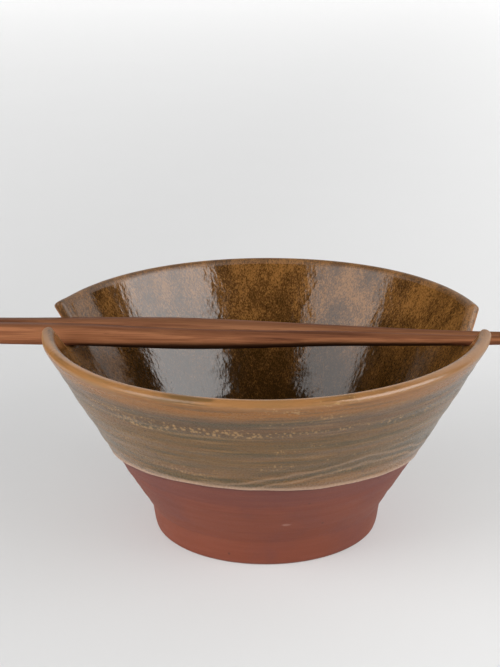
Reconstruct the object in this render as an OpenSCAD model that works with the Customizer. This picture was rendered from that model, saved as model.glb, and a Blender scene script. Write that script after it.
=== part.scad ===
// Stoneware rice bowl with two rim notches and a pair of wooden chopsticks lying in them.
// Origin: centre of the foot's resting plane. +Z is up, +X runs along the chopsticks to
// their tips. Millimetres.

/* [Bowl] */
// Outer diameter over the lip
rim_d = 151.6; // [140:0.2:165]
// Height from the table to the top of the lip
bowl_h = 73; // [68:1:80]
// Half the thickness of the rounded lip
lip_r = 2.1; // [1.6:0.1:2.6]
// Lean of the wall just under the lip, from vertical
wall_lean = 29; // [26:1:32]
// How far the outer wall swells beyond a straight line
wall_swell = 0.5; // [0.3:0.1:1.4]
// Horizontal wall thickness low down, where the wall turns into the floor
base_wall = 6; // [5:0.5:8]
// Height of the inside floor at the middle
floor_z = 13; // [12:0.5:15]

/* [Foot] */
// Diameter of the foot ring where it touches the table
foot_d = 77.2; // [72:0.2:80]
// Height of the foot ring up to the trimmed crease
foot_h = 9.2; // [7:0.2:11]
// Width of the foot ring where it touches the table
foot_ring_w = 6.3; // [5:0.1:9]
// Depth of the hollow inside the foot ring
foot_hollow = 5.5; // [3:0.5:6]

/* [Glaze] */
// Thickness of both glaze coats
glaze_t = 0.4; // [0.3:0.05:0.6]
// Height at which the outer coat ends and bare clay begins
glaze_z = 32; // [24:1:45]

/* [Notches] */
// Slope of the left notch floor, falling to the rear
notch_tilt = 8.5; // [5:0.5:10]
// Height of the left notch floor under the front chopstick
left_floor_z = 62; // [60:0.5:64]
// Height of the right notch floor
right_floor_z = 63.8; // [62:0.2:66]
// Radius in the bottom corners of both notches
notch_corner_r = 1.8; // [1:0.2:2.4]

/* [Chopsticks] */
// Length of one chopstick
stick_len = 225; // [200:5:240]
// Width of the square handle
handle_w = 7.1; // [6:0.1:7.4]
// Diameter at the tip
tip_d = 2.6; // [2:0.1:3.2]
// Distance from the handle end to the shoulder, where the stick has become round
shoulder_x = 95; // [80:5:110]
// Length of the handle end left of the bowl's centre
handle_reach = 125; // [110:5:135]

/* [Hidden] */
$fn = 96;

// Lip: a half round between the two wall faces.
rim_r = rim_d / 2;
lip_c = [rim_r - lip_r, bowl_h - lip_r];
lip_steps = 14;
// Steps of the lip, counted from outside, that the outer coat covers.
lip_shared = 12;

// Foot and the lower end of the outer wall.
foot_r = foot_d / 2;
foot_flare = 1.1;
foot_edge = 1;
crease = 0.5;
wall_foot = [foot_r + foot_flare + 1.1, foot_h + 1.2];
wall_steps = 24;

// Inside: a wall parallel to the outer one, then a bowl-shaped floor.
bend_z = 29;
inner_swell = 0.6;
inner_steps = 16;
floor_steps = 16;
floor_pull = 14;
floor_flat = 22;

// Places where the chopsticks cross the rim, and the notches around them.
notch_x = 72;
rest_gap = 0.1;
front_y = [0.3, 2.2];
rear_y = [8.8, 6.9];
left_top_y = [-7.1, 14];
left_floor_y = [-4.3, 13];
right_top_y = [-4.6, 18.4];
right_floor_y = [-1.6, 14.8];
notch_reach = 60;
notch_top_z = bowl_h + 6;

// Chopstick shape, along its own axis from the handle end.
handle_edge_r = 1;
corner_r = (handle_w / 2 - handle_edge_r) * sqrt(2) + handle_edge_r;
turn_start = 65;
end_chamfer = 1.2;
tip_round = 0.6;

// Unit vector at angle a.
function dir(a) = [cos(a), sin(a)];

// Points from a to b on an arc that swells by s to the right of the way from a to b.
function arc_points(a, b, s, n) =
    let (chord = norm(b - a),
         radius = chord * chord / (8 * s) + s / 2,
         way = (b - a) / chord,
         left = [-way[1], way[0]],
         centre = (a + b) / 2 + left * (radius - s),
         half = asin(chord / 2 / radius),
         mid = atan2(-left[1], -left[0]))
    [for (i = [0:n]) centre + radius * dir(mid + half * (2 * i / n - 1))];

// Points on a cubic curve.
function curve_points(a, b, c, d, n) =
    [for (i = [0:n]) let (t = i / n, u = 1 - t)
        u * u * u * a + 3 * u * u * t * b + 3 * u * t * t * c + t * t * t * d];

// Left-hand normal of a point list at point i.
function normal_at(p, i) =
    let (a = p[max(i - 1, 0)], b = p[min(i + 1, len(p) - 1)], w = (b - a) / norm(b - a))
    [-w[1], w[0]];

// The point list moved to its left by d; a last point on the axis stays on the axis.
function moved_in(p, d) =
    [for (i = [0:len(p) - 1])
        i == len(p) - 1 ? [p[i][0], p[i][1] - d] : p[i] + d * normal_at(p, i)];

function part_of(p, from, to) = [for (i = [from:to]) p[i]];
function backwards(p) = [for (i = [len(p) - 1:-1:0]) p[i]];

// Glazed surface of the whole bowl, from the top of the foot over the lip to the middle.
outer_end = lip_c + lip_r * dir(-wall_lean);
outer_line = arc_points(wall_foot + [glaze_t, 0], outer_end, wall_swell, wall_steps);
lip_line = [for (i = [1:lip_steps - 1]) lip_c + lip_r * dir(180 * i / lip_steps - wall_lean)];
inner_start = lip_c + lip_r * dir(180 - wall_lean);
outer_at_bend = lookup(bend_z, [for (p = outer_line) [p[1], p[0]]]);
bend = [outer_at_bend - base_wall, bend_z];
inner_line = arc_points(inner_start, bend, -inner_swell, inner_steps);
bend_way = (bend - inner_line[inner_steps - 1]) / norm(bend - inner_line[inner_steps - 1]);
floor_line = curve_points(bend, bend + floor_pull * bend_way, [floor_flat, floor_z],
                          [0, floor_z], floor_steps);
skin = concat(outer_line, lip_line, inner_line, part_of(floor_line, 1, floor_steps));
clay = moved_in(skin, glaze_t);
glaze_from = len([for (p = outer_line) if (p[1] < glaze_z) p]);
coats_meet = len(outer_line) + lip_shared - 1;
last = len(skin) - 1;

// Outline of the foot, from the wall down and in to the axis.
foot_line = [
    [0, foot_hollow + 0.6],
    [foot_r - foot_ring_w - 6, foot_hollow],
    [foot_r - foot_ring_w - 1, foot_hollow - 1.2],
    [foot_r - foot_ring_w, foot_edge],
    [foot_r - foot_ring_w + foot_edge, 0],
    [foot_r - foot_edge, 0],
    [foot_r - 0.3, 0.3],
    [foot_r, foot_edge],
    [foot_r + foot_flare, foot_h - 0.6],
    [foot_r + foot_flare - crease, foot_h]
];

// Corner b of the path a-b-c, rounded with radius r.
function rounded_corner(a, b, c, r, n = 6) =
    let (u = (a - b) / norm(a - b), v = (c - b) / norm(c - b),
         half = acos(u * v) / 2,
         centre = b + r / sin(half) * (u + v) / norm(u + v),
         p = b + u * r / tan(half), q = b + v * r / tan(half),
         a0 = atan2(p[1] - centre[1], p[0] - centre[0]),
         turn = atan2(q[1] - centre[1], q[0] - centre[0]) - a0,
         sweep = turn > 180 ? turn - 360 : turn < -180 ? turn + 360 : turn)
    [for (i = [0:n]) centre + r * dir(a0 + sweep * i / n)];

// Outline of a notch in Y and Z: top and floor give the Y of its front and rear side,
// z the height of its floor at those two corners.
module notch_outline(top, floor, z) {
    lean = [for (i = [0:1]) (top[i] - floor[i]) / (bowl_h - z[i])];
    high = [for (i = [0:1]) [floor[i] + lean[i] * (notch_top_z - z[i]), notch_top_z]];
    low = [for (i = [0:1]) [floor[i], z[i]]];
    polygon(concat([high[0]], rounded_corner(high[0], low[0], low[1], notch_corner_r),
                   rounded_corner(low[0], low[1], high[1], notch_corner_r), [high[1]]));
}

// Height of the sloping left notch floor at a given Y.
function left_floor(y) = left_floor_z - (y - front_y[0]) * tan(notch_tilt);

module notches() {
    translate([-notch_x - notch_reach / 2, 0, 0]) rotate([90, 0, 90])
        linear_extrude(height = notch_reach)
            notch_outline(left_top_y, left_floor_y,
                          [left_floor(left_floor_y[0]), left_floor(left_floor_y[1])]);
    translate([notch_x - notch_reach / 2, 0, 0]) rotate([90, 0, 90])
        linear_extrude(height = notch_reach)
            notch_outline(right_top_y, right_floor_y, [right_floor_z, right_floor_z]);
}

// A turned shape with both notches cut out of it.
module notched_turning(points) {
    difference() {
        rotate_extrude() polygon(points);
        notches();
    }
}

// Fired red clay: wall, floor and trimmed foot ring in one piece.
module bowl_body() {
    color([0.52, 0.28, 0.22]) notched_turning(concat(foot_line, clay));
}

// Amber-brown glaze on the inside, up to the inner shoulder of the lip.
module glaze_inside() {
    color([0.36, 0.22, 0.08])
        notched_turning(concat(part_of(skin, coats_meet, last),
                               backwards(part_of(clay, coats_meet, last))));
}

// Olive-brown glaze over the lip and the upper outside.
module glaze_outside() {
    color([0.55, 0.47, 0.36])
        notched_turning(concat(part_of(skin, glaze_from, coats_meet),
                               backwards(part_of(clay, glaze_from, coats_meet))));
}

// Square with rounded corners, from exact squares and circles.
module rounded_square(w, r) {
    square([w, w - 2 * r], center = true);
    square([w - 2 * r, w], center = true);
    for (x = [-1, 1], y = [-1, 1])
        translate([x * (w / 2 - r), y * (w / 2 - r)]) circle(r);
}

// Radius of the turned envelope where the stick has become round, d from the handle end.
function round_r(d) =
    handle_w / 2 - (handle_w - tip_d) / 2 * (d - shoulder_x) / (stick_len - shoulder_x);

// A chopstick along +X from its handle end: a square bar cut to a turned envelope.
module chopstick() {
    intersection() {
        rotate([90, 0, 90]) linear_extrude(height = stick_len)
            rounded_square(handle_w, handle_edge_r);
        rotate([90, 0, 90]) rotate_extrude() polygon([
            [0, 0],
            [corner_r - end_chamfer, 0],
            [corner_r + 0.02, end_chamfer],
            [corner_r + 0.02, turn_start],
            [handle_w / 2, shoulder_x],
            [tip_d / 2, stick_len - tip_round],
            [tip_d / 2 - tip_round, stick_len],
            [0, stick_len]
        ]);
    }
}

// A chopstick whose axis crosses the rim at the given Y and Z, left and right.
module laid_chopstick(y, z) {
    span = 2 * notch_x;
    translate([0, (y[0] + y[1]) / 2, (z[0] + z[1]) / 2])
        rotate([-notch_tilt, -atan((z[1] - z[0]) / span), atan((y[1] - y[0]) / span)])
            translate([-handle_reach, 0, 0]) chopstick();
}

// Axis heights at the two notches: the handle lies flat on the sloping floor, the round
// part on the level one.
function rest_z(y) = [
    left_floor(y) + handle_w / 2 / cos(notch_tilt) + rest_gap,
    right_floor_z + round_r(handle_reach + notch_x) + rest_gap
];

module chopstick_front() {
    color([0.62, 0.40, 0.28]) laid_chopstick(front_y, rest_z(front_y[0]));
}

module chopstick_rear() {
    color([0.58, 0.38, 0.27]) laid_chopstick(rear_y, rest_z(rear_y[0]));
}

bowl_body();
glaze_inside();
glaze_outside();
chopstick_front();
chopstick_rear();
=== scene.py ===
"""Stoneware rice bowl with a pair of wooden chopsticks in its rim notches.

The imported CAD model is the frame. The clay, the two glaze coats and both chopsticks are
modelled here in finer detail and replace their CAD nodes. Lengths in this file are in
millimetres and become metres where a mesh is made.
"""

import math

import bpy
import numpy as np
from mathutils import Matrix, Vector


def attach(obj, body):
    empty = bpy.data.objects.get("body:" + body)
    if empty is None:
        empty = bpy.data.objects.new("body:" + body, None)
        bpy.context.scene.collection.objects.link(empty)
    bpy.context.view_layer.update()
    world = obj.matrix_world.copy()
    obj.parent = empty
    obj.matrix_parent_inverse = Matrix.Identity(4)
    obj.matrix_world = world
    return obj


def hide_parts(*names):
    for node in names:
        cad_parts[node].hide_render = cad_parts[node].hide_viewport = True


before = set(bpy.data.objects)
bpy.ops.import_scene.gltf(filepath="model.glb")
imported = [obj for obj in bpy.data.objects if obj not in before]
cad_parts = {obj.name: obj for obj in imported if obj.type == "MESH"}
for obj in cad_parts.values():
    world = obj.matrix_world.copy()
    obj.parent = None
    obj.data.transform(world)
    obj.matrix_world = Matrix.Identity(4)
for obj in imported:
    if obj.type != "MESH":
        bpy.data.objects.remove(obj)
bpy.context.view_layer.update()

MM = 0.001
TAU = 2 * math.pi

# ------------------------------------------------------------------ sizes, as in part.scad
RIM_R = 75.8
BOWL_H = 73.0
LIP_R = 2.1
WALL_LEAN = 29.0
WALL_SWELL = 0.5
INNER_SWELL = 0.6
FOOT_R = 38.6
FOOT_FLARE = 1.1
FOOT_H = 9.2
FOOT_RING_W = 6.3
FOOT_HOLLOW = 5.5
FOOT_EDGE = 1.0
BASE_WALL = 6.0
FLOOR_Z = 13.0
BEND_Z = 29.0
GLAZE_T = 0.4
NOTCH_TILT = 8.5
LEFT_FLOOR_Y = 0.3        # the left notch's sloping floor is at LEFT_FLOOR here
LEFT_FLOOR = 62.0
RIGHT_FLOOR = 63.8
STICK_LEN = 225.0
HANDLE_W = 7.1
TURN_START = 65.0         # the square handle turns round between here and SHOULDER
SHOULDER = 95.0
HANDLE_REACH = 125.0
NOTCH_X = 72.0

# ------------------------------------------------------------------ looks
JUNCTION_D = 3.4          # the two coats meet this far below the rim, on the inside
BURIED = 0.55             # how far below the glazed surface a coat's back face lies
CORNER_TOP_R = 1.2        # glazed corners where a notch meets the rim
CORNER_FLOOR_R = 1.7      # corners of a notch floor
NOTCH_EASE = 0.25         # notches are this much wider than in the CAD
PATCH_HALF = 34.0         # half the width of the fine mesh around a notch
PATCH_SCALE = 71.0        # wall radius that turns an angle into a width near the notches
NOTCH_STEP = 0.38         # distance between mesh columns at a notch
PLAIN_STEP = 1.35         # and between the patches
STEP_LIMIT = 8            # columns are counted in eights, so that coarser rings fit them
SIDE_LEAN = math.radians(42)  # how far mesh columns lean away from a notch's sides
BLEND_FROM = 1.5          # below here the columns begin to spread out evenly
BLEND_TO = 34.0
FLOW_R = 60.0             # radius on which the materials' streaks are laid round the bowl
FOOT_FINE = 22.0          # length of the foot's outline that has a fine mesh
SQUARENESS = 2.25         # 2 would make the lip's outline round
RIM_TRIM = 0.17           # keeps the whole rim inside the CAD box
RIM_SINK = 1.3
TIP_D = 2.3
STICK_EDGE_R = 1.9
REST_GAP = 0.38           # keeps the bowed sticks just clear of the notch floors


# ------------------------------------------------------------------ profile lines (r, z)
def direction(degrees):
    """Unit vector at an angle from the outward radius."""
    angle = math.radians(degrees)
    return np.array([math.cos(angle), math.sin(angle)])


def arc(a, b, swell, n):
    """Points from a to b on an arc that swells by swell to the right of the way."""
    a = np.array(a, float)
    b = np.array(b, float)
    chord = np.linalg.norm(b - a)
    radius = chord * chord / (8 * swell) + swell / 2
    way = (b - a) / chord
    left = np.array([-way[1], way[0]])
    centre = (a + b) / 2 + left * (radius - swell)
    half = math.asin(chord / 2 / radius)
    middle = math.atan2(-left[1], -left[0])
    angles = middle + half * np.linspace(-1, 1, n + 1)
    return centre + radius * np.stack([np.cos(angles), np.sin(angles)], 1)


def bezier(a, b, c, d, n):
    """Points of a cubic curve from a to d."""
    t = np.linspace(0, 1, n + 1)[:, None]
    u = 1 - t
    return u**3 * a + 3 * u * u * t * b + 3 * u * t * t * c + t**3 * d


def softened(points, rounds):
    """Corner cutting, with both ends kept."""
    p = np.array(points, float)
    for _ in range(rounds):
        cut = np.empty((2 * len(p) - 2, 2))
        cut[0::2] = 0.75 * p[:-1] + 0.25 * p[1:]
        cut[1::2] = 0.25 * p[:-1] + 0.75 * p[1:]
        p = np.concatenate([p[:1], cut[1:-1], p[-1:]])
    return p


class Line:
    """A polyline read by its length, with normals to the left of its way."""

    def __init__(self, points):
        self.p = np.array(points, float)
        steps = np.linalg.norm(np.diff(self.p, axis=0), axis=1)
        self.s = np.concatenate([[0], np.cumsum(steps)])
        way = np.gradient(self.p, self.s, axis=0)
        way /= np.linalg.norm(way, axis=1)[:, None]
        self.n = np.stack([-way[:, 1], way[:, 0]], 1)
        self.start_way = way[0]
        self.length = self.s[-1]

    def at(self, s):
        r = np.interp(s, self.s, self.p[:, 0])
        z = np.interp(s, self.s, self.p[:, 1])
        before = np.minimum(s, 0)
        return np.stack([r + before * self.start_way[0], z + before * self.start_way[1]], -1)

    def normal(self, s):
        return np.stack([np.interp(s, self.s, self.n[:, k]) for k in (0, 1)], -1)


LIP_C = np.array([RIM_R - LIP_R, BOWL_H - LIP_R])
WALL_FOOT = np.array([FOOT_R + FOOT_FLARE + 1.1 + GLAZE_T, FOOT_H + 1.2])
outer_arc = arc(WALL_FOOT, LIP_C + LIP_R * direction(-WALL_LEAN), WALL_SWELL, 160)[::-1]
outer_at_bend = np.interp(BEND_Z, outer_arc[::-1, 1], outer_arc[::-1, 0])
bend = np.array([outer_at_bend - BASE_WALL, BEND_Z])
inner_arc = arc(LIP_C + LIP_R * direction(180 - WALL_LEAN), bend, -INNER_SWELL, 120)
bend_way = (inner_arc[-1] - inner_arc[-2]) / np.linalg.norm(inner_arc[-1] - inner_arc[-2])
floor_curve = bezier(bend, bend + 14 * bend_way, np.array([22, FLOOR_Z]), np.array([0, FLOOR_Z]), 120)
OUTER = Line(outer_arc)
INNER = Line(np.concatenate([inner_arc, floor_curve[1:]]))
CREASE_AT = LIP_R + OUTER.length
foot_corners = [
    WALL_FOOT - [GLAZE_T, 0],
    [FOOT_R + FOOT_FLARE + 0.35, FOOT_H + 0.1],
    [FOOT_R + FOOT_FLARE, FOOT_H - 1.2],
    [FOOT_R + 0.62, 4.6],
    [FOOT_R + 0.25, 2.2],
    [FOOT_R, FOOT_EDGE],
    [FOOT_R - 0.3, 0.3],
    [FOOT_R - FOOT_EDGE, 0],
    [FOOT_R - FOOT_RING_W + FOOT_EDGE, 0],
    [FOOT_R - FOOT_RING_W, FOOT_EDGE],
    [FOOT_R - FOOT_RING_W - 1, FOOT_HOLLOW - 1.2],
    [FOOT_R - FOOT_RING_W - 6, FOOT_HOLLOW],
    [0, FOOT_HOLLOW + 0.6],
]
FOOT = Line(softened(foot_corners, 2))


def wall(h, inset=0.0):
    """Middle of the wall and half its thickness as a vector, h below the rim's tip."""
    s = np.asarray(h, float) - LIP_R
    outer = OUTER.at(s) - inset * OUTER.normal(s)
    inner = INNER.at(s) + inset * INNER.normal(s)
    return (outer + inner) / 2, (outer - inner) / 2


depth_table = np.linspace(0, 30, 301)
height_table = wall(depth_table)[0]


def depth_at(z):
    """Distance below the rim's tip of the point of the wall's middle at height z."""
    return np.interp(-np.asarray(z, float), -height_table[:, 1], depth_table)


def radius_at(z):
    """Radius of the wall's middle at height z."""
    return np.interp(-np.asarray(z, float), -height_table[:, 1], height_table[:, 0])


# ------------------------------------------------------------------ unevenness by angle
def waves(theta, parts):
    """Sum of sines round the bowl: parts are (waves round, size, phase)."""
    return sum(size * np.sin(n * theta + phase) for n, size, phase in parts)


def bump_at(x, centre, width):
    """A smooth bump of height 1."""
    return np.exp(-(((x - centre) / width) ** 2))


def rim_drop(theta):
    """How far the thrown rim dips below its highest point: the front half has sunk a little."""
    sine, cosine = np.sin(theta), np.cos(theta)
    left = np.clip((0.2 - sine) / 0.4, 0, 1)
    left = left * left * (3 - 2 * left)
    right = np.maximum(-sine, 0) ** 2
    dip = RIM_SINK * np.where(cosine < 0, left, right)
    return np.maximum(RIM_TRIM + dip + waves(theta, [(3, 0.04, 2.2), (5, 0.03, 0.3)]), 0.0)


def glaze_line(theta):
    """Height at which the outer coat ends."""
    plane = 28.6 + 6.3 * np.cos(theta + math.radians(91.5))
    plane -= 0.8 * bump_at(np.mod(theta, TAU), math.radians(278), 0.45)
    return plane + waves(theta, [(3, 0.25, 1.0), (7, 0.16, 0.4), (13, 0.1, 2.0), (29, 0.06, 1.2)])


def second_line(theta):
    """Height of the edge of the second dip, which leaves the first towards the right."""
    degrees = np.degrees(np.mod(theta + math.pi, TAU)) - 180
    above = 5.0 + 3.2 * np.cos(theta)
    above += 4.6 * bump_at(degrees, -55, 24) - 2.2 * bump_at(degrees, -105, 22)
    above += waves(theta, [(9, 0.14, 1.4), (17, 0.08, 0.1), (31, 0.05, 2.0)])
    return glaze_line(theta) + above


def to_depth(z):
    """Depth along the outer wall of height z."""
    return LIP_R + np.interp(-np.asarray(z, float), -OUTER.p[:, 1], OUTER.s)


# ------------------------------------------------------------------ rim with its notches
def left_floor(y):
    """Height of the left notch's floor, which slopes to the rear."""
    return LEFT_FLOOR - (y - LEFT_FLOOR_Y) * math.tan(math.radians(NOTCH_TILT))


# Corners (y, z) of each notch in the order of its columns; None stands for the rim's height.
NOTCHES = [
    {"at": 0.0, "sign": 1,
     "corners": [(-5.4, None), (-1.6, RIGHT_FLOOR), (13.4, RIGHT_FLOOR), (20.0, None)]},
    {"at": math.pi, "sign": -1,
     "corners": [(13.6, None), (13.0, left_floor(13.0)), (-4.6, left_floor(-4.6)), (-9.3, None)]},
]


def rounded(points, radii, n=9):
    """A polyline with its inner corners rounded, and the index of each corner's middle."""
    out = [points[0]]
    middles = []
    for i in range(1, len(points) - 1):
        a, b, c = points[i - 1], points[i], points[i + 1]
        u = (a - b) / np.linalg.norm(a - b)
        v = (c - b) / np.linalg.norm(c - b)
        half = math.acos(float(u @ v)) / 2
        reach = radii[i - 1] / math.tan(half)
        p, q = b + u * reach, b + v * reach
        t = np.linspace(0, 1, n)[:, None]
        bulge = (1 - t) ** 2 * p + 2 * t * (1 - t) * b + t * t * q
        middles.append(len(out) + n // 2)
        out.extend(bulge)
    out.append(points[-1])
    return np.array(out), middles


def rim_depth(notch, width):
    """How far the rim dips at a width within a notch's patch."""
    return rim_drop(notch["at"] + width / PATCH_SCALE)


def notch_outline(notch):
    """The wall's edge across one patch as (width, depth), its corners' places and its ends."""
    points = []
    for y, z in notch["corners"]:
        z_here = BOWL_H - 0.3 if z is None else z
        lateral = math.asin(y / float(radius_at(z_here)))
        width = notch["sign"] * lateral * PATCH_SCALE
        depth = 0.0 if z is None else float(depth_at(z))
        points.append(np.array([width, depth]))
    for point, way in zip(points, (-1, -1, 1, 1)):
        point[0] += way * NOTCH_EASE
    for point in (points[0], points[3]):
        point[1] = rim_depth(notch, point[0])
    middle = (points[0][0] + points[3][0]) / 2
    ends = (middle - PATCH_HALF, middle + PATCH_HALF)
    rim = [np.array([width, rim_depth(notch, width)]) for width in ends]
    radii = [CORNER_TOP_R, CORNER_FLOOR_R, CORNER_FLOOR_R, CORNER_TOP_R]
    line, corners = rounded([rim[0]] + points + [rim[1]], radii)
    return line, corners, ends


def column_places(fine, corners):
    """Where the mesh columns start along an outline: close at the notch, wider to its ends."""
    away = np.maximum(np.maximum(corners[0] - 3 - fine, fine - corners[3] - 3), 0)
    density = 1 / (NOTCH_STEP + 0.055 * away)
    count = np.concatenate([[0], np.cumsum((density[1:] + density[:-1]) / 2 * np.diff(fine))])
    columns = int(math.ceil(count[-1] / STEP_LIMIT) * STEP_LIMIT)
    return np.interp(np.linspace(0, count[-1], columns + 1), count, fine)[:-1]


def column_leans(fine, corners, at):
    """Angle of each mesh column: away from the notch at its sides, and straight down elsewhere."""
    a, b, c, d = corners
    knots = [a - 12, a + 1, b - 1, b + 5, c - 5, c + 1, d - 1, d + 12]
    lean = np.interp(fine, knots, [0, -1, -1, 0, 0, 1, 1, 0]) * SIDE_LEAN
    kernel = np.ones(61) / 61
    lean = np.convolve(np.pad(lean, 30, mode="edge"), kernel, mode="valid")
    return np.interp(at, fine, lean)


def notch_patch(notch):
    """Edge points, their inward directions and where their columns end, for one notch."""
    line, corners, ends = notch_outline(notch)
    steps = np.linalg.norm(np.diff(line, axis=0), axis=1)
    s = np.concatenate([[0], np.cumsum(steps)])
    corners = [s[k] for k in corners]
    fine = np.linspace(0, s[-1], 2001)
    at = column_places(fine, corners)
    edge = np.stack([np.interp(at, s, line[:, 0]), np.interp(at, s, line[:, 1])], 1)
    # The straight rim between the patch's end and the notch follows the rim's own unevenness.
    outside = (at < corners[0] - 2) | (at > corners[3] + 2)
    edge[outside, 1] = rim_depth(notch, edge[:, 0])[outside]
    lean = column_leans(fine, corners, at)
    return {"edge": edge, "line": line, "at": notch["at"],
            "inward": np.stack([np.sin(lean), np.cos(lean)], 1),
            "flat": ends[0] + (ends[1] - ends[0]) * at / s[-1],
            "from": notch["at"] + ends[0] / PATCH_SCALE,
            "to": notch["at"] + ends[1] / PATCH_SCALE}


def distance_to(line, points):
    """Shortest distance from each point to a polyline."""
    a = line[:-1][None]
    b = line[1:][None]
    p = points[:, None]
    along = np.clip(((p - a) * (b - a)).sum(-1) / ((b - a) ** 2).sum(-1), 0, 1)
    return np.linalg.norm(p - a - along[..., None] * (b - a), axis=-1).min(1)


lip_rows = LIP_R * (1 - np.cos(np.radians(np.linspace(0, 90, 10))))
wall_rows = [LIP_R + 0.6, JUNCTION_D]
while wall_rows[-1] < 36:
    wall_rows.append(wall_rows[-1] + (1.0 if wall_rows[-1] < 18 else 0.75))
DEPTHS = np.concatenate([lip_rows, wall_rows])
JUNCTION = len(lip_rows) + 1
BLEND = np.clip((DEPTHS - BLEND_FROM) / (BLEND_TO - BLEND_FROM), 0, 1)
BLEND = BLEND * BLEND * (3 - 2 * BLEND)


def wall_grid():
    """Angle, depth and distance from the edge of every mesh point of the upper wall."""
    patches = [notch_patch(n) for n in NOTCHES]
    theta, depth, away = [], [], []
    for k, patch in enumerate(patches):
        reach = DEPTHS[None, :, None] * patch["inward"][:, None, :]
        free = patch["edge"][:, None, :] + reach
        flat = np.stack(np.broadcast_arrays(patch["flat"][:, None], DEPTHS[None, :]), -1)
        grid = (1 - BLEND)[None, :, None] * free + BLEND[None, :, None] * flat
        d = distance_to(patch["line"], grid.reshape(-1, 2)).reshape(grid.shape[:2])
        d[:, 0] = 0
        theta.append(patch["at"] + grid[..., 0] / PATCH_SCALE)
        depth.append(grid[..., 1])
        away.append(d)
        # Plain wall up to the next patch.
        start = patch["to"]
        stop = patches[(k + 1) % 2]["from"] + (TAU if k else 0)
        n = int(math.ceil((stop - start) * RIM_R / PLAIN_STEP / STEP_LIMIT) * STEP_LIMIT)
        t = start + (stop - start) * np.arange(n) / n
        drop = rim_drop(t)[:, None]
        rows = (1 - BLEND) * (drop + DEPTHS) + BLEND * DEPTHS
        theta.append(np.broadcast_to(t[:, None], rows.shape))
        depth.append(rows)
        away.append(rows - drop * (1 - BLEND))
    return np.concatenate(theta), np.concatenate(depth), np.concatenate(away)


THETA, DEPTH, AWAY = wall_grid()
COLUMNS = THETA.shape[0]


# ------------------------------------------------------------------ relief of the surfaces
def outer_relief(theta, h):
    """Throwing rings outside, in mm, positive outwards."""
    wander = waves(theta, [(1, 1.2, 0.4), (2, 0.8, 1.9), (5, 0.25, 0.2)])
    x = h + wander - 2.2 * theta / TAU
    rings = 0.08 * np.sin(x / 1.35) + 0.06 * np.sin(x / 0.83 + 1.3) + 0.1 * np.sin(x / 2.9 + 0.5)
    marks = -0.12 * bump_at(x, 9.2, 1.6) + 0.12 * bump_at(x, 24.0, 0.8)
    over = to_depth(second_line(theta)) - h
    dip = 0.17 * bump_at(over, 0, 1.1) - 0.08 * bump_at(over, 2.4, 1.4) + 0.08 * bump_at(over, -3.6, 1.1)
    slow = waves(theta, [(2, 0.12, 1.1), (3, 0.1, 0.4)]) * np.clip(h / 30, 0, 1)
    return (rings + marks + dip) * np.clip((h - 4) / 5, 0, 1) * 0.9 - 0.15 + slow * 0.6


def inner_relief(theta, h):
    """Throwing rings inside, positive into the bowl."""
    x = h + waves(theta, [(1, 1.5, 2.4), (3, 0.5, 0.9)]) + 3.0 * theta / TAU
    rings = 0.012 * np.sin(x / 1.7) + 0.03 * np.sin(x / 3.7)
    low = 0.012 * waves(theta, [(9, 1, 0.3), (14, 0.7, 1.1)]) * np.sin(x / 4.1 + theta)
    return (rings + low) * np.clip((h - 4) / 6, 0, 1)


def corner_flare(theta, h):
    """The cut corner behind the left notch leans out a little."""
    off = (theta - math.pi) * PATCH_SCALE + 14.0
    return 1.0 * bump_at(off, 0, 5.0) * np.clip(1 - h / 26, 0, 1)


def in_space(r, theta, z):
    """Points in X, Y and Z from radius, angle and height."""
    return np.stack([r * np.cos(theta), r * np.sin(theta), z], 1)


def surface(theta, h, away, side, inset=0.0, raised=0.0):
    """Points of the bowl in mm. side is +1 outside and -1 inside."""
    middle, half = wall(h, inset)
    reach = np.clip(1 - (away - inset) / (LIP_R - inset), 0, 1)
    full = (1 - reach**SQUARENESS) ** (1 / SQUARENESS)
    s = h - LIP_R
    if side > 0:
        normal = OUTER.normal(s)
        relief = (outer_relief(theta, h) + raised) * np.clip((CREASE_AT - h) / 8, 0, 1)
    else:
        normal = -INNER.normal(s)
        relief = inner_relief(theta, h) + raised
    fade = np.clip((away - 2) / 4, 0, 1)
    middle = middle + [1, 0] * corner_flare(theta, h)[:, None]
    rz = middle + side * full[:, None] * half + (relief * fade)[:, None] * normal
    return in_space(rz[:, 0], theta, rz[:, 1])


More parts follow.
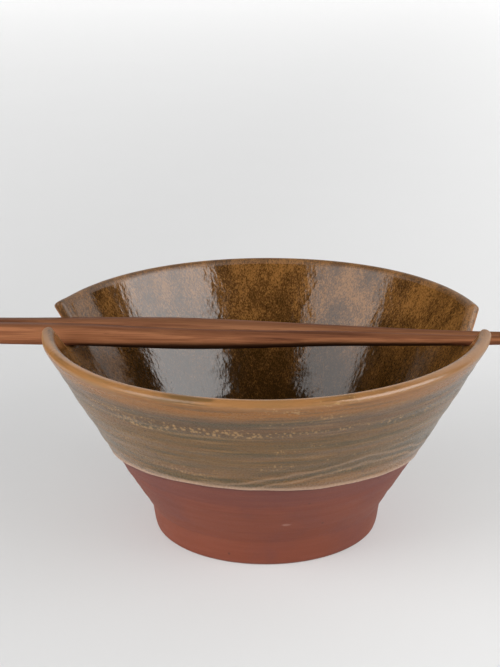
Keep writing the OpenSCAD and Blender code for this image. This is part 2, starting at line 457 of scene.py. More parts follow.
# ------------------------------------------------------------------ meshes from rings
class Rings:
    """Builds a closed mesh from rings of points, each run round the bowl."""

    def __init__(self):
        self.points, self.faces, self.last = [], [], None
        self.values = {"rim": [], "line": [], "second": []}
        self.count = 0

    def add(self, xyz, **values):
        """Adds a ring, or a single point, and joins it to the last one."""
        index = np.arange(self.count, self.count + len(xyz))
        self.count += len(xyz)
        self.points.append(xyz)
        for name, store in self.values.items():
            store.append(np.broadcast_to(values.get(name, 0.0), (len(xyz),)))
        if self.last is not None:
            self.join(self.last, index)
        self.last = index

    def join(self, a, b):
        """Faces between two rings, of which one may have a whole number of times more points."""
        if len(a) == 1:
            self.faces += [[a[0], p, q] for p, q in zip(b, np.roll(b, -1))]
        elif len(b) == 1:
            self.faces += [[p, b[0], q] for p, q in zip(a, np.roll(a, -1))]
        elif len(a) == len(b):
            quads = np.stack([a, b, np.roll(b, -1), np.roll(a, -1)], 1)
            self.faces += quads.tolist()
        elif len(a) > len(b):
            k = len(a) // len(b)
            wide = np.append(a, a[0])
            for i, (p, q) in enumerate(zip(b, np.roll(b, -1))):
                self.faces.append([wide[k * i], p, q] + wide[k * i + 1:k * (i + 1) + 1][::-1].tolist())
        else:
            k = len(b) // len(a)
            wide = np.append(b, b[0])
            for i, (p, q) in enumerate(zip(a, np.roll(a, -1))):
                self.faces.append([p] + wide[k * i:k * (i + 1) + 1].tolist() + [q])

    def make(self, name, sharp):
        """Makes the object, with the numbers that its materials read at each point."""
        mesh = bpy.data.meshes.new(name)
        points = np.concatenate(self.points) * MM
        mesh.from_pydata(points.tolist(), [], [[int(v) for v in f] for f in self.faces])
        for key, store in self.values.items():
            data = mesh.attributes.new(key, "FLOAT", "POINT").data
            data.foreach_set("value", np.concatenate(store).astype(np.float32))
        angle = np.arctan2(points[:, 1], points[:, 0])
        down = np.abs(np.concatenate(self.values["rim"]))
        flow = np.stack([FLOW_R * np.cos(angle), FLOW_R * np.sin(angle), down], 1)
        data = mesh.attributes.new("flow", "FLOAT_VECTOR", "POINT").data
        data.foreach_set("vector", flow.astype(np.float32).ravel())
        mesh.polygons.foreach_set("use_smooth", [True] * len(mesh.polygons))
        mesh.set_sharp_from_angle(angle=math.radians(sharp))
        mesh.update()
        obj = bpy.data.objects.new(name, mesh)
        bpy.context.scene.collection.objects.link(obj)
        return obj


def wall_ring(rings, j, side, inset=0.0, step=1):
    """Adds the ring of wall row j."""
    pick = slice(None, None, step)
    theta, h, away = THETA[pick, j], DEPTH[pick, j], AWAY[pick, j]
    if inset:
        away = np.maximum(away, inset)
    xyz = surface(theta, h, away, side, inset)
    line = 99.0 if side < 0 else glaze_gap(theta, h)
    rings.add(xyz, rim=side * AWAY[pick, j], line=line, second=second_gap(theta, h))


def glaze_gap(theta, h):
    """Distance of depth h above the outer coat's lower edge."""
    return to_depth(glaze_line(theta)) - h


def second_gap(theta, h):
    """Distance of depth h above the edge of the second dip."""
    return to_depth(second_line(theta)) - h


LAST = len(DEPTHS) - 1
LOW_THETA = THETA[:, LAST]


def outer_ring(rings, h, inset=0.0, raised=0.0, step=1):
    """Adds a ring of the outside below the wall grid; h may differ round the bowl."""
    theta = LOW_THETA[::step]
    h = np.broadcast_to(h, THETA.shape[:1])[::step]
    xyz = surface(theta, h, h, 1, inset, raised)
    rings.add(xyz, rim=h, line=glaze_gap(theta, h), second=second_gap(theta, h))


def inner_ring(rings, h, inset=0.0, step=1):
    """Adds a ring of the inside below the wall grid."""
    theta = LOW_THETA[::step]
    s = h - LIP_R
    rz = INNER.at(s) + (inset - inner_relief(theta, h)[:, None]) * INNER.normal(s)
    rings.add(in_space(rz[:, 0], theta, rz[:, 1]), rim=-h, line=99.0)


INNER_END = LIP_R + INNER.length
inner_depths = list(np.arange(DEPTHS[-1] + 1.2, INNER_END - 2.0, 1.2)) + [INNER_END - 1.2]


def inner_step(h):
    """Fewer columns towards the middle of the floor."""
    return 1 if h < 46 else 2 if h < 58 else 4 if h < 76 else 8


def make_glaze_inside():
    """The amber coat: its face from the floor's middle up to the junction, then its back."""
    rings = Rings()
    rings.add(np.array([[0, 0, FLOOR_Z]]), rim=-INNER_END, line=99.0)
    for h in inner_depths[::-1]:
        inner_ring(rings, h, step=inner_step(h))
    for j in range(LAST, JUNCTION - 1, -1):
        wall_ring(rings, j, -1)
    for j in list(range(JUNCTION, LAST, 4)) + [LAST]:
        wall_ring(rings, j, -1, BURIED, step=4)
    for h in inner_depths[::4]:
        inner_ring(rings, h, BURIED, step=8)
    rings.add(np.array([[0, 0, FLOOR_Z - BURIED]]), rim=-INNER_END, line=99.0)
    return rings.make("glaze_coat_inside", sharp=50)


# Rows of the outer coat near its lower edge, by distance above the edge.
EDGE_ROWS = [7.5, 6.9, 6.3, 5.7, 5.1, 4.5, 3.9, 3.3, 2.8, 2.3, 1.9, 1.55, 1.25, 1.0, 0.78, 0.58, 0.4,
             0.24, 0.12, 0.04]


def edge_roll(u):
    """Distance of the coat's face from the full glazed surface, u above its lower edge."""
    close = np.clip(1 - u / 0.8, 0, 1)
    return -BURIED * (1 - np.sqrt(1 - close**2)) + 0.3 * bump_at(u, 0.95, 0.6)


def make_glaze_outside():
    """The olive coat: over the lip and down to its rolled edge, then back under the surface."""
    rings = Rings()
    for j in range(JUNCTION, 0, -1):
        wall_ring(rings, j, -1)
    for j in range(0, LAST + 1):
        wall_ring(rings, j, 1)
    edge = to_depth(glaze_line(LOW_THETA))
    top = DEPTHS[-1]
    first = edge - EDGE_ROWS[0]
    between = 14
    for k in range(1, between):
        share = k / between
        h = top + (first - top) * share
        outer_ring(rings, np.maximum(h, top + 0.02 * k))
    for n, u in enumerate(EDGE_ROWS):
        floor = top + 0.02 * (between + n)
        outer_ring(rings, np.maximum(edge - u, floor), raised=edge_roll(u))
    outer_ring(rings, edge, BURIED)
    outer_ring(rings, edge - 1.5, BURIED, step=4)
    for j in [LAST] + list(range(LAST - 4, len(lip_rows) - 1, -4)) + [7, 5, 3]:
        wall_ring(rings, j, 1, BURIED, step=4)
    for j in (5, 7, 9, JUNCTION):
        wall_ring(rings, j, -1, BURIED, step=4)
    rings.join(rings.last, np.arange(COLUMNS))
    return rings.make("glaze_coat_outside", sharp=50)


def make_clay():
    """The clay: under the coats from the floor over the lip, then the bare foot."""
    rings = Rings()
    rings.add(np.array([[0, 0, FLOOR_Z - GLAZE_T]]))
    for h in inner_depths[::-3]:
        inner_ring(rings, h, GLAZE_T, step=8)
    for j in [LAST] + list(range(LAST - 3, len(lip_rows) - 1, -3)) + [8, 6, 5]:
        wall_ring(rings, j, -1, GLAZE_T, step=4)
    for j in [4, 5, 6, 8] + list(range(len(lip_rows), LAST, 3)):
        wall_ring(rings, j, 1, GLAZE_T, step=4)
    for h in np.arange(DEPTHS[-1], CREASE_AT - 0.4, 0.7):
        outer_ring(rings, h, GLAZE_T, step=2)
    theta = LOW_THETA[::2]
    marks = waves(theta, [(3, 0.05, 0.2), (8, 0.03, 1.0)])
    fine_rows = np.arange(0.0, FOOT_FINE, 0.45)
    for s in np.concatenate([fine_rows, np.arange(FOOT_FINE, FOOT.length - 3, 2.5)]):
        r, z = FOOT.at(s)
        pick = slice(None, None, 1 if s < FOOT_FINE else 4)
        t = theta[pick]
        # The flat that stands on the ground stays truly round.
        radius = r + marks[pick] * (z > 0.5)
        ring = in_space(radius, t, np.full(len(t), z))
        rings.add(ring, rim=CREASE_AT + s, line=glaze_gap(t, CREASE_AT + s))
    rings.add(np.array([[0, 0, FOOT_HOLLOW + 0.6]]), rim=200.0, line=-80.0)
    return rings.make("fired_clay_bowl", sharp=60)


# ------------------------------------------------------------------ chopsticks
CORNER_R = (HANDLE_W / 2 - STICK_EDGE_R) * math.sqrt(2) + STICK_EDGE_R
# Where each stick lies across the left and the right notch.
FRONT_Y = (LEFT_FLOOR_Y, 2.2)
REAR_Y = (8.8, 6.9)
# Bends of each stick: place along X, reach to each side, rise, shift to the rear.
FRONT_BOWS = [(-22, 52, -0.9, -0.4), (112, 60, 0.8, 0.0)]
REAR_BOWS = [(-42, 62, 0.9, 0.0), (-2, 70, 0.8, 0.0), (112, 60, 0.4, 0.0)]


def bow(x, at, reach, size):
    """A gentle bend that dies out at both ends."""
    t = np.clip((x - at) / reach, -1, 1)
    return size * (0.5 + 0.5 * np.cos(math.pi * t))


def stick_frame(y_left, y_right):
    """Turn and middle of a stick that rests in both notches."""
    fall = (HANDLE_W - TIP_D) / 2 * (HANDLE_REACH + NOTCH_X - SHOULDER)
    tip_radius = HANDLE_W / 2 - fall / (STICK_LEN - SHOULDER)
    tilt = math.radians(NOTCH_TILT)
    z_left = left_floor(y_left) + HANDLE_W / 2 / math.cos(tilt) + REST_GAP
    z_right = RIGHT_FLOOR + tip_radius + REST_GAP
    middle = Vector((0, (y_left + y_right) / 2, (z_left + z_right) / 2))
    across = 2 * NOTCH_X
    turn = (Matrix.Rotation(math.atan((y_right - y_left) / across), 3, "Z")
            @ Matrix.Rotation(-math.atan((z_right - z_left) / across), 3, "Y")
            @ Matrix.Rotation(-tilt, 3, "X"))
    return np.array(turn), np.array(middle)


def stick_section(d, turns):
    """Outline of a stick, d from its handle end: a soft square that turns into a circle."""
    corner = np.interp(d, [TURN_START, SHOULDER], [CORNER_R, HANDLE_W / 2])
    power = 1 / (0.5 - math.log2(corner / (HANDLE_W / 2)))
    half = np.interp(d, [SHOULDER, STICK_LEN], [HANDLE_W / 2, TIP_D / 2])
    soft = 0.9 if d < 10 else 1.0
    from_end = min(d, STICK_LEN - d) / soft
    shrink = 1.0
    if from_end < 1.0:
        depth = (1 - from_end) * soft
        shrink = (half - soft + math.sqrt(max(soft * soft - depth * depth, 0))) / half
    c, s = np.cos(turns), np.sin(turns)
    radius = half * shrink / (np.abs(c) ** power + np.abs(s) ** power) ** (1 / power)
    return np.stack([np.full_like(c, d - HANDLE_REACH), radius * c, radius * s], 1)


def make_stick(name, places, bows):
    """A chopstick at rest, from its square handle end to its round tip."""
    turn, middle = stick_frame(*places)
    ends = [0.0, 0.12, 0.4, 0.9, 1.6, 2.6]
    stations = ends + list(np.arange(5.0, STICK_LEN - 4, 2.5)) + [STICK_LEN - e for e in ends[::-1]]
    turns = -np.linspace(0, TAU, 48, endpoint=False)
    rings = Rings()
    for k, d in enumerate(stations):
        xyz = stick_section(d, turns) @ turn.T + middle
        for at, reach, up, rear in bows:
            xyz[:, 2] += bow(d - HANDLE_REACH, at, reach, up)
            xyz[:, 1] += bow(d - HANDLE_REACH, at, reach, rear)
        if k == 0:
            rings.add(xyz.mean(0, keepdims=True))
        rings.add(xyz)
    rings.add(xyz.mean(0, keepdims=True))
    return rings.make(name, sharp=40)


clay = make_clay()
coat_in = make_glaze_inside()
coat_out = make_glaze_outside()
stick_front = make_stick("stick_front", FRONT_Y, FRONT_BOWS)
stick_rear = make_stick("stick_rear", REAR_Y, REAR_BOWS)


# ------------------------------------------------------------------ materials
class Shade:
    """A node material, built with short calls. Lengths in it are in millimetres."""

    def __init__(self, name):
        self.material = bpy.data.materials.new(name)
        self.material.use_nodes = True
        self.tree = self.material.node_tree
        self.shader = self.tree.nodes["Principled BSDF"]
        place = self.node("ShaderNodeTexCoord").outputs["Object"]
        self.place = self.vector("MULTIPLY", place, (1000, 1000, 1000))

    def node(self, kind, **settings):
        made = self.tree.nodes.new(kind)
        for key, value in settings.items():
            setattr(made, key, value)
        return made

    def put(self, socket, value):
        if isinstance(value, bpy.types.NodeSocket):
            self.tree.links.new(value, socket)
        elif isinstance(value, tuple) and len(value) == 3 and socket.type == "RGBA":
            socket.default_value = (*value, 1)
        else:
            socket.default_value = value

    def vector(self, operation, a, b, output="Vector"):
        made = self.node("ShaderNodeVectorMath", operation=operation)
        self.put(made.inputs[0], a)
        self.put(made.inputs[1], b)
        return made.outputs[output]

    def measure(self, operation, a, b=(0, 0, 0)):
        """A number from one or two vectors: a length, a distance or a dot product."""
        return self.vector(operation, a, b, "Value")

    def part(self, vector, axis):
        made = self.node("ShaderNodeSeparateXYZ")
        self.put(made.inputs[0], vector)
        return made.outputs[axis]

    def math(self, operation, a, b=0.0):
        made = self.node("ShaderNodeMath", operation=operation)
        self.put(made.inputs[0], a)
        self.put(made.inputs[1], b)
        return made.outputs[0]

    def add(self, a, b):
        return self.math("ADD", a, b)

    def minus(self, a, b):
        return self.math("SUBTRACT", a, b)

    def times(self, a, b):
        return self.math("MULTIPLY", a, b)

    def size(self, a):
        return self.math("ABSOLUTE", a)

    def value(self, name):
        """A number that the mesh carries: rim, line or second."""
        return self.node("ShaderNodeAttribute", attribute_name=name).outputs["Fac"]

    def stretched(self, x, y, z):
        return self.vector("MULTIPLY", self.place, (x, y, z))

    def flow(self, round_scale, down_scale):
        """Place round the bowl and down its wall, stretched."""
        made = self.node("ShaderNodeAttribute", attribute_name="flow").outputs["Vector"]
        return self.vector("MULTIPLY", made, (round_scale, round_scale, down_scale))

    def noise(self, vector, scale, detail=2.0, rough=0.5, distortion=0.0):
        made = self.node("ShaderNodeTexNoise")
        self.put(made.inputs["Vector"], vector)
        for key, amount in (("Scale", scale), ("Detail", detail), ("Roughness", rough),
                            ("Distortion", distortion)):
            made.inputs[key].default_value = amount
        return made.outputs["Fac"]

    def cells(self, vector, scale):
        """Distance to the nearest of many scattered points."""
        made = self.node("ShaderNodeTexVoronoi")
        self.put(made.inputs["Vector"], vector)
        made.inputs["Scale"].default_value = scale
        return made.outputs["Distance"]

    def span(self, value, low, high, to_low=0.0, to_high=1.0, smooth=True):
        """Takes low..high to to_low..to_high, and holds the ends."""
        made = self.node("ShaderNodeMapRange")
        made.interpolation_type = "SMOOTHSTEP" if smooth else "LINEAR"
        self.put(made.inputs["Value"], value)
        for key, amount in (("From Min", low), ("From Max", high), ("To Min", to_low),
                            ("To Max", to_high)):
            made.inputs[key].default_value = amount
        return made.outputs["Result"]

    def mix(self, share, a, b):
        made = self.node("ShaderNodeMix", data_type="RGBA")
        self.put(made.inputs["Factor"], share)
        self.put(made.inputs[6], a)
        self.put(made.inputs[7], b)
        return made.outputs[2]

    def ramp(self, value, stops):
        """Colours along a value that runs from the first stop's place to the last one's."""
        first, last = stops[0][0], stops[-1][0]
        share = self.span(value, first, last, smooth=False)
        made = self.node("ShaderNodeValToRGB")
        ramp = made.color_ramp
        while len(ramp.elements) > 1:
            ramp.elements.remove(ramp.elements[-1])
        for k, (at, colour) in enumerate(stops):
            place = (at - first) / (last - first)
            stop = ramp.elements[0] if k == 0 else ramp.elements.new(place)
            stop.position = place
            stop.color = (*colour, 1)
        self.put(made.inputs[0], share)
        return made.outputs["Color"]

    def bump(self, height, distance, normal=None, strength=1.0):
        made = self.node("ShaderNodeBump")
        made.inputs["Distance"].default_value = distance * MM
        made.inputs["Strength"].default_value = strength
        self.put(made.inputs["Height"], height)
        if normal is not None:
            self.put(made.inputs["Normal"], normal)
        return made.outputs["Normal"]

    def finish(self, obj, colour, roughness, normal=None, **constants):
        self.put(self.shader.inputs["Base Color"], colour)
        self.put(self.shader.inputs["Roughness"], roughness)
        if normal is not None:
            self.put(self.shader.inputs["Normal"], normal)
        for key, amount in constants.items():
            self.shader.inputs[key.replace("_", " ")].default_value = amount
        obj.data.materials.append(self.material)


GLAZE_IOR = 1.55

AMBER_DARK = (0.036, 0.016, 0.003)
AMBER = (0.105, 0.045, 0.011)
AMBER_GOLD = (0.27, 0.12, 0.03)

LIP_GOLD = (0.34, 0.16, 0.055)
LIP_BROWN = (0.24, 0.1, 0.027)
BAND_ORANGE = (0.275, 0.105, 0.015)
BAND_TAN = (0.205, 0.094, 0.027)
OLIVE_GREY = (0.112, 0.059, 0.022)
OLIVE = (0.155, 0.078, 0.019)
LOW_TAN = (0.255, 0.115, 0.03)
CUT_ORANGE = (0.48, 0.18, 0.04)
GREEN_DARK = (0.079, 0.055, 0.02)
ROSE_TAN = (0.195, 0.094, 0.04)
STREAK_LIGHT = (0.27, 0.148, 0.056)
SPECK_GOLD = (0.43, 0.25, 0.1)
IRON_SPOT = (0.05, 0.03, 0.018)
DIP_PALE_AND_HIGHLIGHT = (0.42, 0.255, 0.15)
ROLL_PALE_AND_HIGHLIGHT = (0.5, 0.32, 0.22)
EDGE_DARKER = (0.15, 0.07, 0.045)
# Colours of the outer coat by distance below the rim.
OUTER_BANDS = [
    (0.0, LIP_GOLD), (0.7, LIP_GOLD), (1.5, LIP_BROWN), (2.3, BAND_ORANGE), (4.6, BAND_ORANGE),
    (6.4, BAND_TAN), (8.2, OLIVE_GREY), (12.5, OLIVE_GREY), (19.0, OLIVE), (60.0, OLIVE),
]
# Lines along the edge of the second dip, partly the overlap's own colour, partly painted highlight on
# its ridges and painted shade in the hollows beside them: height over that edge, half width, colour.
DIP_LINES = [
    (2.3, 1.9, GREEN_DARK), (0.0, 1.0, DIP_PALE_AND_HIGHLIGHT), (-1.9, 1.2, GREEN_DARK), (-3.4, 0.9, DIP_PALE_AND_HIGHLIGHT),
    (-5.4, 1.2, GREEN_DARK),
]
SPECK_ROW = 14.5

# Colours of the bare clay by height over the glaze's lower edge.
CLAY_BANDS = [
    (-38.0, (0.22, 0.056, 0.028)), (-14.0, (0.215, 0.057, 0.031)), (-7.0, (0.19, 0.055, 0.038)),
    (-1.2, (0.18, 0.057, 0.043)), (0.0, (0.12, 0.05, 0.04)),
]
CLAY_LIGHT = (0.27, 0.084, 0.05)
CLAY_CLOUD = (0.165, 0.052, 0.042)
GROG_PALE = (0.34, 0.145, 0.09)
GROG_DARK = (0.09, 0.03, 0.02)
CLAY_SPOT = (0.06, 0.025, 0.02)
SMEAR_PALE = (0.5, 0.28, 0.22)
SMEAR_AT = (9.7, -43.8, 17.5)
PIT_PAINTED_SHADE = (0.03, 0.012, 0.01)
PIT_AT = (8.4, -44.7, 20.2)

# Light, middle and dark wood of each chopstick.
FRONT_WOOD = [(0.39, 0.16, 0.07), (0.275, 0.1, 0.043), (0.12, 0.042, 0.02)]
REAR_WOOD = [(0.36, 0.155, 0.07), (0.255, 0.1, 0.045), (0.12, 0.044, 0.021)]
PORE_DARK = (0.05, 0.02, 0.012)
# Painted shade on the sticks: on their tops, in the groove between them and underneath over the bowl.
TOP_PAINTED_SHADE = (0.07, 0.024, 0.01)
GROOVE_PAINTED_SHADE = (0.04, 0.013, 0.006)
UNDER_PAINTED_SHADOW = (0.02, 0.007, 0.003)

PAPER_GREY = (0.52, 0.52, 0.518)
PAPER_WHITE = (0.53, 0.53, 0.53)


def amber_colour(g):
    """Colour of the amber glaze: dark, with golden flecks drawn out down the wall."""
    flecks = g.noise(g.stretched(1, 1, 0.28), 2.3, detail=3.0, rough=0.72)
    patches = g.noise(g.stretched(0.12, 0.12, 0.06), 1.0, detail=3.0, rough=0.6)
    streaks = g.noise(g.stretched(0.8, 0.8, 0.05), 1.0, detail=2.0)
    level = g.add(flecks, g.times(g.minus(patches, 0.5), 0.5))
    level = g.add(level, g.times(g.minus(streaks, 0.5), 0.22))
    level = g.add(level, g.span(g.size(g.value("rim")), 4, 52, 0.13, -0.07))
    body = g.mix(g.span(level, 0.38, 0.6), AMBER_DARK, AMBER)
    return g.mix(g.span(level, 0.57, 0.76), body, AMBER_GOLD)


def amber_roughness(g):
    """A glossy glaze, a little duller in places."""
    return g.span(g.noise(g.place, 0.9, detail=2.0), 0.3, 0.7, 0.07, 0.16)


def amber_normal(g):
    """Slight unevenness of a thick glossy glaze."""
    grain = g.noise(g.flow(1.0, 0.5), 0.9, detail=2.0, rough=0.6)
    swell = g.noise(g.stretched(0.26, 0.26, 0.05), 1.0, detail=2.0)
    return g.bump(grain, 0.05, g.bump(swell, 0.22, strength=0.7))


def glaze_inside_material(obj):
    g = Shade("amber_glaze")
    g.finish(obj, amber_colour(g), amber_roughness(g), amber_normal(g), IOR=GLAZE_IOR)


def banded(g, rim, line, wobble):
    """Colours of the outer coat from the lip down, and near its lower edge."""
    below = g.add(rim, g.times(wobble, g.span(rim, 1.5, 6)))
    low = g.span(g.add(line, wobble), 9.5, 4.5, 0.0, 0.8)
    return g.mix(low, g.ramp(below, OUTER_BANDS), LOW_TAN)


def streaked(g, base, rim):
    """Broad and fine streaks left by throwing and dipping, running round the bowl."""
    glazed = g.span(rim, 4.5, 8.5)
    broad = g.noise(g.flow(0.02, 0.3), 1.0, detail=3.0, rough=0.55, distortion=0.4)
    base = g.mix(g.times(glazed, g.span(broad, 0.52, 0.36, 0.0, 0.85)), base, GREEN_DARK)
    base = g.mix(g.times(glazed, g.span(broad, 0.52, 0.66, 0.0, 0.62)), base, ROSE_TAN)
    fine = g.noise(g.flow(0.035, 0.95), 1.0, detail=4.0, rough=0.62, distortion=0.3)
    base = g.mix(g.span(fine, 0.48, 0.34, 0.0, 0.62), base, GREEN_DARK)
    return g.mix(g.span(fine, 0.52, 0.65, 0.0, 0.62), base, STREAK_LIGHT)


def speckled(g, base, rim):
    """Golden specks, denser in some rows, and small iron spots."""
    rows = g.noise(g.flow(0.045, 0.32), 1.0, detail=2.0)
    near_row = g.span(g.size(g.minus(rim, SPECK_ROW)), 3.2, 0.5, 0.0, 0.2)
    reach = g.span(g.add(rows, near_row), 0.47, 0.75, 0.0, 0.38, smooth=False)
    for scale in (0.55, 0.85):
        dots = g.minus(reach, g.cells(g.place, scale))
        base = g.mix(g.span(dots, -0.02, 0.1, 0.0, 0.6), base, SPECK_GOLD)
    spots = g.span(g.cells(g.place, 0.21), 0.12, 0.06, 0.0, 0.6)
    return g.mix(g.times(spots, g.span(rim, 3, 5)), base, IRON_SPOT)


def edged(g, base, line, second):
    """Edges of the second dip with partly painted highlight and shade, and the rolled lower edge: paler
    where the coat is thick, with a painted highlight.
    """
    # Pale lines are partly painted highlight on the dip's ridges; dark lines are partly painted shade in
    # its hollows.
    for at, half, colour in DIP_LINES:
        off = g.size(g.minus(second, at))
        base = g.mix(g.span(off, half, half * 0.1, 0.0, 0.4), base, colour)
    # Paler where the rolled edge is thick, with a painted highlight along it.
    roll = g.times(g.span(line, 2.7, 1.0), g.span(line, 0.1, 0.5, 0.0, 0.8))
    base = g.mix(roll, base, ROLL_PALE_AND_HIGHLIGHT)
    # Darker along the very lower edge of the coat.
    return g.mix(g.span(line, 0.3, 0.0, 0.0, 0.8), base, EDGE_DARKER)


def glaze_outside_material(obj):
    """Olive glaze with an orange lip, and amber where the inside coat reaches the rim."""
    g = Shade("olive_glaze")
    rim = g.value("rim")
    line = g.value("line")
    back = g.part(g.place, 1)
    wobble = g.noise(g.flow(0.1, 0.1), 1.0, detail=2.0)
    wobble = g.times(g.minus(wobble, 0.5), 3.2)
    base = banded(g, rim, line, wobble)
    base = streaked(g, base, rim)
    base = speckled(g, base, rim)
    base = edged(g, base, line, g.add(g.value("second"), wobble))
    # The cut faces of the notches are a clear orange.
    cut = g.times(g.span(g.size(rim), 1.9, 1.1), g.span(g.part(g.place, 2), 71.2, 69.5))
    cut = g.times(cut, g.span(back, -14, -9, 0.0, 0.75))
    base = g.mix(cut, base, CUT_ORANGE)
    # Amber glaze comes up to the rim from inside, and a little over it at the back.
    over = g.minus(rim, g.span(back, -60, 60, -0.45, 1.0, smooth=False))
    amber = g.span(over, 0.15, -0.5)
    base = g.mix(amber, base, amber_colour(g))
    grain = g.noise(g.flow(1.0, 1.3), 1.3, detail=2.0, rough=0.6)
    swell = g.noise(g.flow(0.12, 0.5), 1.0, detail=2.0)
    normal = g.bump(grain, 0.05, g.bump(swell, 0.22, strength=0.7))
    normal = g.mix(amber, normal, amber_normal(g))
    rough = g.mix(amber, g.span(grain, 0.3, 0.7, 0.22, 0.36), amber_roughness(g))
    rough = g.mix(g.span(g.size(rim), 3.4, 1.6), rough, g.span(back, -45, 0, 0.22, 0.5))
    g.finish(obj, base, rough, normal, IOR=GLAZE_IOR)


def clay_material(obj):
    """Reddish bare clay with turning marks."""
    g = Shade("fired_clay")
    streak = g.noise(g.flow(0.03, 0.6), 1.0, detail=4.0, rough=0.6)
    cloud = g.noise(g.place, 0.045, detail=4.0, rough=0.6)
    grog = g.noise(g.place, 1.9, detail=3.0, rough=0.7)
    base = g.ramp(g.value("line"), CLAY_BANDS)
    base = g.mix(g.span(streak, 0.38, 0.66, 0.0, 0.35), base, CLAY_LIGHT)
    base = g.mix(g.span(cloud, 0.48, 0.7, 0.0, 0.45), base, CLAY_CLOUD)
    base = g.mix(g.span(grog, 0.6, 0.72, 0.0, 0.3), base, GROG_PALE)
    base = g.mix(g.span(grog, 0.4, 0.28, 0.0, 0.35), base, GROG_DARK)
    base = g.mix(g.span(g.cells(g.place, 0.14), 0.1, 0.05, 0.0, 0.6), base, CLAY_SPOT)
    # One pale smear of glaze, and above it a pit drawn as painted shade, on the front.
    off = g.vector("SUBTRACT", g.place, SMEAR_AT)
    smear = g.measure("LENGTH", g.vector("MULTIPLY", off, (1, 1, 2.6)))
    smear = g.add(smear, g.times(grog, 1.5))
    base = g.mix(g.span(smear, 2.7, 1.4, 0.0, 0.45), base, SMEAR_PALE)
    # Painted shade of the pit; the mesh has no hollow there.
    pit = g.measure("DISTANCE", g.place, PIT_AT)
    base = g.mix(g.span(pit, 1.0, 0.5, 0.0, 0.85), base, PIT_PAINTED_SHADE)
    turning = g.noise(g.flow(0.02, 1.6), 1.0, detail=3.0)
    normal = g.bump(grog, 0.05, g.bump(turning, 0.12, strength=0.6))
    g.finish(obj, base, g.span(grog, 0.3, 0.7, 0.5, 0.72), normal, Specular_IOR_Level=0.3)


def wood_material(obj, name, colours, shift):
    """Fine-grained wood along X; shift moves its grain, so that the sticks differ."""
    g = Shade(name)
    light, middle, dark = colours
    along = g.vector("ADD", g.place, (shift, shift * 0.7, 0))
    grain = g.noise(g.vector("MULTIPLY", along, (0.012, 0.55, 0.55)), 1.0, detail=5.0, rough=0.6,
                    distortion=0.5)
    fibre = g.noise(g.vector("MULTIPLY", along, (0.05, 2.6, 2.6)), 1.0, detail=3.0, rough=0.6)
    pores = g.noise(g.vector("MULTIPLY", along, (0.16, 4.5, 4.5)), 1.0, detail=2.0)
    base = g.ramp(grain, [(0.3, dark), (0.45, middle), (0.58, light), (0.72, middle)])
    base = g.mix(g.span(fibre, 0.36, 0.66, 0.0, 0.4), base, dark)
    base = g.mix(g.span(pores, 0.66, 0.76, 0.0, 0.55), base, PORE_DARK)
    # Painted shade: darker on top, along the rear edge where the sticks face each other, and underneath
    # over the bowl.
    normal = g.node("ShaderNodeNewGeometry").outputs["Normal"]
    upward = g.part(normal, 2)
    base = g.mix(g.span(upward, 0.4, 0.85, 0.0, 0.55), base, TOP_PAINTED_SHADE)
    # Painted shade in the groove where the sticks face each other.
    rear_edge_painted_shade = g.times(g.span(g.part(normal, 1), 0.05, 0.4), g.span(upward, 0.1, 0.3, 0.0, 0.92))
    base = g.mix(rear_edge_painted_shade, base, GROOVE_PAINTED_SHADE)
    # Painted shadow underneath the sticks where they lie over the bowl.
    over_bowl = g.span(g.size(g.part(g.place, 0)), 72, 60)
    under = g.times(over_bowl, g.span(upward, 0.1, -0.45, 0.0, 0.92))
    base = g.mix(under, base, UNDER_PAINTED_SHADOW)
    relief = g.bump(pores, -0.06, g.bump(fibre, 0.05))
    g.finish(obj, base, g.span(fibre, 0.3, 0.7, 0.5, 0.7), relief, Specular_IOR_Level=0.09)


def floor_material(obj):
    """White paper that glows a little, more so far out and to the right, to stay pale: painted light
    that fills in the shade round the bowl.
    """
    g = Shade("studio_paper")
    far = g.measure("LENGTH", g.stretched(1, 1, 0))
    side = g.measure("DOT_PRODUCT", g.place, (1, -0.2, 0))
    # Painted light: the glow lightens the bowl's shade on the floor and brightens it far out and to the
    # right.
    glow = g.span(far, 150, 1560, 0.21, 0.73, smooth=False)
    glow = g.add(glow, g.span(side, -200, 200, -0.05, 0.135))
    glow = g.minus(glow, g.span(far, 1620, 2250, 0.0, 0.2))
    g.put(g.shader.inputs["Emission Strength"], glow)
    paper = g.mix(g.noise(g.place, 0.02, detail=3.0), PAPER_GREY, PAPER_WHITE)
    g.finish(obj, paper, 0.95, Emission_Color=(1, 1, 1, 1), Specular_IOR_Level=0.1)


clay_material(clay)
glaze_inside_material(coat_in)
glaze_outside_material(coat_out)
wood_material(stick_front, "wood_front", FRONT_WOOD, 0.0)
wood_material(stick_rear, "wood_rear", REAR_WOOD, 41.0)

for piece, body, node, slot in [
    (clay, "bowl", "bowl_body", "clay"),
    (coat_in, "bowl", "glaze_inside", "glaze_inside"),
    (coat_out, "bowl", "glaze_outside", "glaze_outside"),
    (stick_front, "chopstick_front", "chopstick_front", "wood_front"),
    (stick_rear, "chopstick_rear", "chopstick_rear", "wood_rear"),
]:
    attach(piece, body)
    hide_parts(node)


# ------------------------------------------------------------------ floor, light, camera
FLOOR_R = 1.6
CURVE_R = 0.8
WALL_TOP = 3.0
WORLD_LIGHT = 0.2
LENS = 89.05


def stage_mesh(name, points, faces):
    """A paper mesh that belongs to the stage and not to the part. Lengths in metres."""
    mesh = bpy.data.meshes.new(name)
    mesh.from_pydata(points, [], faces)
    mesh.polygons.foreach_set("use_smooth", [True] * len(faces))
    obj = bpy.data.objects.new(name, mesh)
    bpy.context.scene.collection.objects.link(obj)
    floor_material(obj)
    return obj


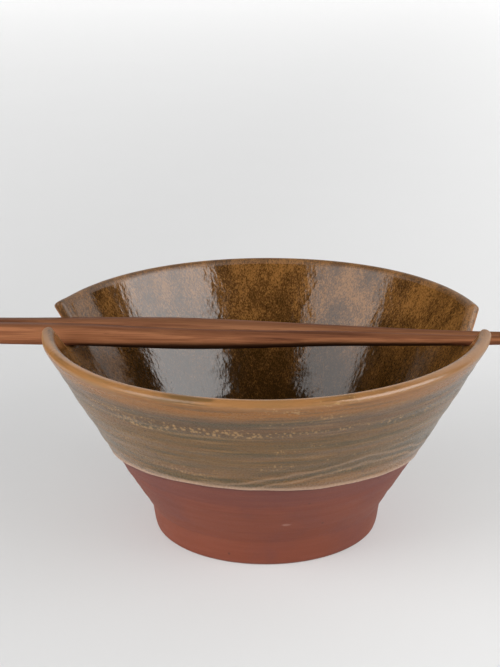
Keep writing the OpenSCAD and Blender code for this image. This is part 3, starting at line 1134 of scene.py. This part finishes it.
def make_floor():
    """A round paper floor."""
    angles = np.linspace(0, TAU, 97)[:-1]
    points = [(FLOOR_R * math.cos(a), FLOOR_R * math.sin(a), 0.0) for a in angles]
    stage_mesh("studio_floor", points, [tuple(range(len(points)))])


def make_wall(name, start, stop):
    """Paper wall that curves up from the floor, over a span of azimuths in degrees."""
    profile = []
    for a in np.radians(np.linspace(0, 90, 17)):
        profile.append((FLOOR_R + CURVE_R * math.sin(a), CURVE_R - CURVE_R * math.cos(a)))
    profile.append((FLOOR_R + CURVE_R, WALL_TOP))
    angles = np.radians(np.linspace(start, stop, int((stop - start) / 4) + 1))
    points = [(r * math.cos(a), r * math.sin(a), z) for r, z in profile for a in angles]
    n = len(angles)
    faces = [(i * n + k, i * n + k + 1, (i + 1) * n + k + 1, (i + 1) * n + k)
             for i in range(len(profile) - 1) for k in range(n - 1)]
    return stage_mesh(name, points, faces)


make_floor()
make_wall("studio_wall_back", 32, 128)
# The rest of the wall is only there to be seen behind the bowl from other sides.
surround = make_wall("studio_wall_round", 128, 392)
surround.visible_diffuse = False
surround.visible_glossy = False
surround.visible_shadow = False

world = bpy.data.worlds.new("studio")
bpy.context.scene.world = world
world.use_nodes = True
world.node_tree.nodes["Background"].inputs["Color"].default_value = (1, 1, 1, 1)
world.node_tree.nodes["Background"].inputs["Strength"].default_value = WORLD_LIGHT
world.cycles_visibility.glossy = False


def area(name, place, target, width, height, power, diffuse=True, glossy=True):
    """A rectangular light that faces target. Lengths in metres, power in watts."""
    light = bpy.data.lights.new(name, "AREA")
    light.shape = "RECTANGLE"
    light.size = width
    light.size_y = height
    light.energy = power
    obj = bpy.data.objects.new(name, light)
    obj.location = place
    way = Vector(target) - Vector(place)
    obj.rotation_euler = way.to_track_quat("-Z", "Y").to_euler()
    obj.visible_diffuse = diffuse
    obj.visible_glossy = glossy
    bpy.context.scene.collection.objects.link(obj)


def around(azimuth, elevation, distance):
    """Place at these angles in degrees, seen from the origin."""
    a, e = math.radians(azimuth), math.radians(elevation)
    return (distance * math.cos(e) * math.cos(a), distance * math.cos(e) * math.sin(a),
            distance * math.sin(e))


TARGET = (0, 0, 0.04)
area("top_light", (0.0, 0.0, 2.0), TARGET, 2.4, 2.4, 4, glossy=False)
area("front_right", around(-55, 28, 1.7), TARGET, 1.2, 0.9, 5, glossy=False)
area("front_left", around(-125, 28, 1.7), TARGET, 1.2, 0.9, 6, glossy=False)
area("right_side", around(-17, 30, 1.5), TARGET, 1.2, 1.0, 10, glossy=False)
area("left_side", around(-155, 30, 1.5), TARGET, 1.2, 1.0, 15, glossy=False)
area("right_box", around(-18, 30, 1.5), TARGET, 1.35, 1.0, 20, diffuse=False)
area("left_box", around(-143.5, 30, 1.5), TARGET, 1.08, 1.0, 8.2, diffuse=False)

CAMERA_AT = (0.03867, -0.52757, 0.24853)
YAW, PITCH, ROLL = math.radians(-4.755), math.radians(18.868), math.radians(-0.406)
camera_data = bpy.data.cameras.new("camera")
camera_data.lens = LENS
camera_data.sensor_width = 36
camera = bpy.data.objects.new("camera", camera_data)
ahead = Vector((math.sin(YAW) * math.cos(PITCH), math.cos(YAW) * math.cos(PITCH), -math.sin(PITCH)))
right = Vector((math.cos(YAW), -math.sin(YAW), 0))
up = right.cross(ahead)
right_rolled = right * math.cos(ROLL) + up * math.sin(ROLL)
up_rolled = up * math.cos(ROLL) - right * math.sin(ROLL)
turned = Matrix((right_rolled, up_rolled, -ahead)).transposed()
camera.matrix_world = Matrix.Translation(CAMERA_AT) @ turned.to_4x4()
bpy.context.scene.collection.objects.link(camera)
bpy.context.scene.camera = camera
bpy.context.scene.view_settings.view_transform = "Standard"
